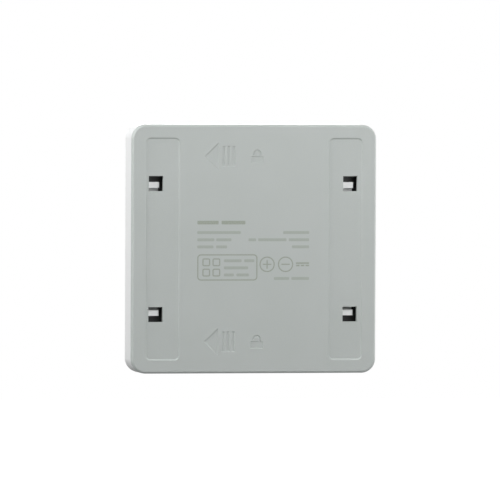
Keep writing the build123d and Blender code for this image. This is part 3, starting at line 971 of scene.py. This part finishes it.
@dataclass
class BoardStack:
    """The circuit board and all that is soldered or screwed to it."""

    switches: int = 4
    pad_depth: float = 0.03
    screw_ring: float = 5.0
    screw_ring_line: float = 0.9
    leg_pad: Pair = (1.7, 1.2)
    leg_pad_place: Pair = (3.7, 2.25)
    diode_pad: Pair = (0.8, 1.1)
    diode_pad_place: float = 1.0
    test_pads: int = 5
    test_pad: float = 1.4
    test_pad_pitch: float = 2.6
    test_pad_start: float = 7.8
    test_pad_level: float = -31.0
    head_radius: float = 1.9
    head_rounding: float = 0.3
    cross_arm: float = 1.15
    cross_line: float = 0.5
    cross_depth: float = 0.7
    cross_lean: float = 0.12
    switch_half: float = 3.0
    chip_half: float = 2.5
    pin_dot: float = 0.7
    pin_dot_inset: float = 0.9
    end_cap: Pair = (6.12, 7.08)
    aerial_place: float = 6.3
    aerial_height: float = 9.0
    aerial_line: float = 0.4
    aerial_runs: int = 5
    edge_pads: int = 8
    edge_pad: Pair = (0.8, 0.7)
    edge_pad_pitch: float = 1.5
    edge_pad_start: float = -8.0
    edge_pad_reach: float = 6.0
    lens_inset: float = 0.16
    gold: Material = field(init=False)
    tin: Material = field(init=False)

    def __post_init__(self) -> None:
        """Makes the two metals that several pieces share."""
        self.gold = Metal.GOLD_PAD.value.material()
        self.tin = Metal.TINNED_LID.value.material()

    def build(self) -> None:
        """Builds the board's pieces and gives each solid that stays its finish."""
        self._board()
        self._radio()
        dress("radio_shield", self.tin)
        self._screws()
        self._chips()
        self._diodes()
        acetal = PLUNGER_ACETAL.material()
        for number in range(1, self.switches + 1):
            dress(f"switch_plunger_{number}", acetal)
        self._tact_switches()

    def _screw_places(self) -> list[Pair]:
        """Gives the places of the four screws across and up."""
        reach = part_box("board_screws")[1][0] / MM - self.head_radius
        return [(reach, 0.0), (0.0, reach), (-reach, 0.0), (0.0, -reach)]

    def _board(self) -> None:
        """Builds the board with its bare pads on the side of the keys."""
        board = welded_copy("circuit_board", "board_with_pads", BOARD_MASK.material())
        sheet = MarkSheet("circuit_board", -1)
        ring = self.screw_ring
        for at in self._screw_places():
            sheet.outline(at, (ring, ring), ring * DISC, self.screw_ring_line)
        for number in range(1, self.switches + 1):
            x, z = middle_of(f"tact_switch_{number}")
            across, up = self.leg_pad_place
            for side, end in CORNERS:
                sheet.bar((x + side * across, z + end * up), self.leg_pad)
            x, z = middle_of(f"light_guide_{number}")
            for side in (-1, 1):
                sheet.bar((x + side * self.diode_pad_place, z), self.diode_pad)
        pad = self.test_pad
        for index in range(self.test_pads):
            place = self.test_pad_start + index * self.test_pad_pitch
            sheet.bar((place, self.test_pad_level), (pad, pad), pad * DISC)
        sheet.cut(board, self.pad_depth, self.gold)
        stand_in(board, "circuit_board", "switch_body")

    def _radio(self) -> None:
        """Builds the radio board with its printed aerial and edge pads."""
        radio = welded_copy("radio_module", "radio_board_with_aerial", RADIO_MASK.material())
        x, z = middle_of("radio_module")
        sheet = MarkSheet("radio_module", 1)
        aerial = (self.aerial_height, self.aerial_line, self.aerial_runs)
        sheet.meander((x + self.aerial_place, z), *aerial)
        for index in range(self.edge_pads):
            across = x + self.edge_pad_start + index * self.edge_pad_pitch
            for side in (-1, 1):
                sheet.bar((across, z + side * self.edge_pad_reach), self.edge_pad)
        sheet.cut(radio, self.pad_depth, self.gold)
        stand_in(radio, "radio_module", "switch_body")

    def _screws(self) -> None:
        """Builds the screws with rounded heads and cross recesses."""
        zinc = Metal.ZINC_SCREW.value.material()
        screws = welded_copy("board_screws", "cross_head_screws", zinc)
        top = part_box("board_screws")[0][1]
        soften(screws.data, RIM, level_with(top), self.head_rounding, segments=3)
        sheet = MarkSheet("board_screws", -1)
        for at in self._screw_places():
            sheet.plus(at, self.cross_arm, self.cross_line)
        sheet.cut(screws, self.cross_depth, zinc, self.cross_lean)
        stand_in(screws, "board_screws", "switch_body")

    def _chips(self) -> None:
        """Builds the supply chip with its first-pin dot and the small parts with tinned ends."""
        epoxy = CHIP_EPOXY.material()
        chips = welded_copy("chip_components", "chips_with_tinned_ends", epoxy, self.tin)
        near, far = self.end_cap
        with reshaping(chips.data) as shape:
            for place in (-near, -far, near, far):
                everything = list(shape.verts) + list(shape.edges) + list(shape.faces)
                plane = {"plane_co": (place * MM, 0.0, 0.0), "plane_no": (1.0, 0.0, 0.0)}
                bmesh.ops.bisect_plane(shape, geom=everything, dist=JOIN_DISTANCE, **plane)
            for face in shape.faces:
                across = abs(face.calc_center_median().x) / MM
                if self.chip_half < across < near or across > far:
                    face.material_index = 1
        x, z = middle_of("chip_components")
        sheet = MarkSheet("chip_components", 1)
        corner = self.chip_half - self.pin_dot_inset
        dot = self.pin_dot
        sheet.bar((x + corner, z + corner), (dot, dot), dot * DISC)
        sheet.cut(chips, self.pad_depth, TACT_NYLON.material())
        stand_in(chips, "chip_components", "switch_body")

    def _diodes(self) -> None:
        """Builds the diodes: a white package round a resin lens."""
        finishes = (LED_CASE.material(), LED_RESIN.material())
        diodes = welded_copy("status_leds", "diode_packages", *finishes)
        with reshaping(diodes.data) as shape:
            lenses = [face for face in shape.faces if face.normal.y < FORWARD]
            bmesh.ops.inset_individual(shape, faces=lenses, thickness=self.lens_inset * MM)
            for face in lenses:
                face.material_index = 1
        stand_in(diodes, "status_leds", "switch_body")

    def _tact_switches(self) -> None:
        """Builds the tact switches with a metal cover and metal legs."""
        nylon = TACT_NYLON.material()
        for number in range(1, self.switches + 1):
            node = f"tact_switch_{number}"
            switch = welded_copy(node, f"tact_switch_cased_{number}", nylon, self.tin)
            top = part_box(node)[0][1]
            middle = middle_of(node)[0]
            for face in switch.data.polygons:
                covers = face.normal.y < FORWARD and face.center.y < top + JOIN_DISTANCE
                beside = abs(face.center.x / MM - middle) > self.switch_half + JOIN_DISTANCE / MM
                face.material_index = int(covers or beside)
            stand_in(switch, node, "switch_body")


@dataclass
class BatteryBay:
    """The coin cell and its two sprung contacts."""

    segments: int = 96
    rolled_rim: float = 0.5
    seal_drop: float = 0.14
    seal_width: float = 0.89
    wall: float = 0.03
    cap_rise: float = 0.3
    can_rounding: float = 0.4
    rim_rounding: float = 0.25
    cap_rounding: float = 0.2
    sign_arm: float = 2.6
    sign_line: float = 0.6
    sign_depth: float = 0.12

    def build(self) -> None:
        """Builds the cell and gives the contacts their finish."""
        self._cell()
        strip = Metal.NICKEL_STRIP.value.material()
        for node in ("battery_clip", "battery_spring"):
            dress(node, strip)

    def _cell(self) -> None:
        """Builds the cell: a rolled can, a dark seal and a raised cap."""
        low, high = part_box("coin_cell")
        rear, front = high[1], low[1]
        shoulder = front + self.cap_rise * MM
        radius = (high[0] - low[0]) / 2
        middle = ((low[0] + high[0]) / 2, (rear + shoulder) / 2, (low[2] + high[2]) / 2)
        steps = (
            (self.rolled_rim, 0.0, 0),
            (self.wall, -self.seal_drop, 0),
            (self.seal_width, 0.0, 1),
            (self.wall, self.seal_drop + self.cap_rise, 0),
        )
        mesh = bpy.data.meshes.new("sealed_coin_cell")
        with reshaping(mesh) as shape:
            round_can = {"radius1": radius, "radius2": radius, "depth": rear - shoulder}
            bmesh.ops.create_cone(shape, cap_ends=True, segments=self.segments, **round_can)
            bmesh.ops.rotate(shape, matrix=UPRIGHT, verts=shape.verts)
            bmesh.ops.translate(shape, vec=middle, verts=shape.verts)
            end = min(shape.faces, key=lambda face: face.calc_center_median().y)
            for width, rise, index in steps:
                size = {"thickness": width * MM, "depth": rise * MM}
                ring = bmesh.ops.inset_region(shape, faces=[end], **size, **INSET)
                for face in ring["faces"]:
                    face.material_index = index
            bmesh.ops.recalc_face_normals(shape, faces=shape.faces)
        cell = link_object("sealed_coin_cell", mesh)
        can = Metal.CELL_CAN.value.material()
        mesh.materials.append(can)
        mesh.materials.append(CELL_SEAL.material())
        roundings = (self.can_rounding, self.rim_rounding, self.cap_rounding)
        for level, rounding in zip((rear, shoulder, front), roundings):
            soften(mesh, RIM, level_with(level), rounding, segments=4)
        sheet = MarkSheet("coin_cell", 1)
        sheet.plus(middle_of("coin_cell"), self.sign_arm, self.sign_line)
        sheet.cut(cell, self.sign_depth, can)
        stand_in(cell, "coin_cell", "switch_body")


@dataclass
class Softbox:
    """One large soft lamp, with its place and size in metres and its power in watts."""

    name: str
    place: Triple
    size: float
    power: float

    def hang(self) -> None:
        """Hangs the lamp so that it faces the switch."""
        lamp = bpy.data.lights.new(self.name, "AREA")
        lamp.shape = "SQUARE"
        lamp.size = self.size
        lamp.energy = self.power
        holder = link_object(self.name, lamp)
        holder.location = self.place
        holder.rotation_mode = "QUATERNION"
        holder.rotation_quaternion = (-Vector(self.place)).to_track_quat("-Z", "Y")
        holder.visible_camera = False


@dataclass
class Studio:
    """The camera, the lamps, the white surround and the pale floor."""

    azimuth: float = 169.0
    elevation: float = 1.6
    roll: float = 0.25
    distance: float = 2.5
    pixels_per_mm: float = 2.893
    frame_pixels: float = 500.0
    aim: Triple = (1.55 * MM, 0.0, -0.33 * MM)
    clip: Pair = (0.01, 50.0)
    surround: float = 0.15
    floor_drop: float = 0.35
    floor_size: float = 12.0
    floor_paper: str = "#C9C9C9"
    # The floor glows from near the switch outwards, so that its edge can't be told from the white.
    glow_reach: Pair = (0.25, 1.1)
    least_glow: float = 0.35
    glow: float = 1.4
    # Three lamps and one for the side wall light the back, and the last two the front.
    lamps: tuple[Softbox, ...] = (
        Softbox("back_top", (0.12, 0.45, 0.3), 0.25, 0.86),
        Softbox("back_left", (0.4, 0.12, 0.2), 0.25, 0.82),
        Softbox("back_right", (-0.2, 0.3, 0.15), 0.25, 0.71),
        Softbox("side_top", (0.3, 0.0, 0.2), 0.2, 0.455),
        Softbox("front_key", (-0.15, -0.46, 0.07), 0.3, 1.8),
        Softbox("front_side", (-0.42, -0.05, 0.03), 0.25, 0.8),
    )

    def build(self) -> None:
        """Sets up the whole studio."""
        bpy.context.scene.view_settings.view_transform = "Standard"
        self._set_camera()
        self._set_surround()
        for lamp in self.lamps:
            lamp.hang()
        self._lay_floor()

    def _set_camera(self) -> None:
        """Sets the camera at the photograph's viewing angle and scale."""
        camera = bpy.data.cameras.new("camera")
        camera.sensor_width = 36.0
        view_width = self.frame_pixels / self.pixels_per_mm * MM
        camera.lens = camera.sensor_width * self.distance / view_width
        camera.clip_start, camera.clip_end = self.clip
        holder = link_object("camera", camera)
        turn = math.radians(self.azimuth)
        rise = math.radians(self.elevation)
        flat = math.cos(rise)
        back = Vector((math.sin(turn) * flat, -math.cos(turn) * flat, math.sin(rise)))
        holder.location = Vector(self.aim) + back * self.distance
        holder.rotation_mode = "QUATERNION"
        level = (-back).to_track_quat("-Z", "Y")
        holder.rotation_quaternion = level @ Quaternion((0.0, 0.0, 1.0), math.radians(self.roll))
        bpy.context.scene.camera = holder

    def _set_surround(self) -> None:
        """Makes the world a plain light that the camera, gloss and clear resin see as white."""
        world = bpy.data.worlds.new("surround")
        bpy.context.scene.world = world
        world.use_nodes = True
        tree = world.node_tree
        tree.nodes.clear()
        rays = add_node(tree, "LightPath").outputs
        shown = rays["Is Camera Ray"]
        for ray in ("Is Glossy Ray", "Is Transmission Ray"):
            shown = add_node(tree, "Math", {0: shown, 1: rays[ray]}, operation="MAXIMUM")
        light = {"Value": shown, "To Min": self.surround, "To Max": 1.0}
        strength = add_node(tree, "MapRange", light)
        white = add_node(tree, "Background", {"Color": WHITE, "Strength": strength})
        add_node(tree, "OutputWorld", {"Surface": white})

    def _lay_floor(self) -> None:
        """Lays a pale floor that takes the switch's shadow and is clear to a camera below it."""
        mesh = bpy.data.meshes.new("floor")
        with reshaping(mesh) as shape:
            bmesh.ops.create_grid(shape, x_segments=1, y_segments=1, size=self.floor_size / 2)
            bmesh.ops.translate(shape, vec=(0.0, 0.0, -self.floor_drop), verts=shape.verts)
        material = bpy.data.materials.new("pale_floor")
        material.use_nodes = True
        tree = material.node_tree
        tree.nodes.clear()
        camera_ray = add_node(tree, "LightPath").outputs["Is Camera Ray"]
        place = add_node(tree, "TexCoord").outputs["Object"]
        level = add_node(tree, "VectorMath", {0: place, 1: (1.0, 1.0, 0.0)}, operation="MULTIPLY")
        away = add_node(tree, "VectorMath", {0: level}, operation="LENGTH")
        near, far = self.glow_reach
        reach = {"Value": away, "From Min": near, "From Max": far, "To Min": self.least_glow}
        share = add_node(tree, "MapRange", reach, interpolation_type="SMOOTHSTEP")
        below = add_node(tree, "NewGeometry").outputs["Backfacing"]
        paper = add_node(tree, "BsdfDiffuse", {"Color": linear(self.floor_paper)})
        glow = add_node(tree, "Emission", {"Color": WHITE, "Strength": self.glow})
        surface = paper
        for part, layer in ((share, glow), (below, add_node(tree, "BsdfTransparent"))):
            seen = add_node(tree, "Math", {0: camera_ray, 1: part}, operation="MULTIPLY")
            surface = add_node(tree, "MixShader", {0: seen, 1: surface, 2: layer})
        add_node(tree, "OutputMaterial", {"Surface": surface})
        mesh.materials.append(material)
        link_object("floor", mesh)


def main() -> None:
    """Builds the studio and every sub-assembly in order."""
    logging.basicConfig(level=logging.INFO, format="%(message)s")
    Studio().build()
    WallPlate().build()
    SwitchShell().build()
    KeyBank().build()
    BoardStack().build()
    BatteryBay().build()


if __name__ == "__main__":
    main()
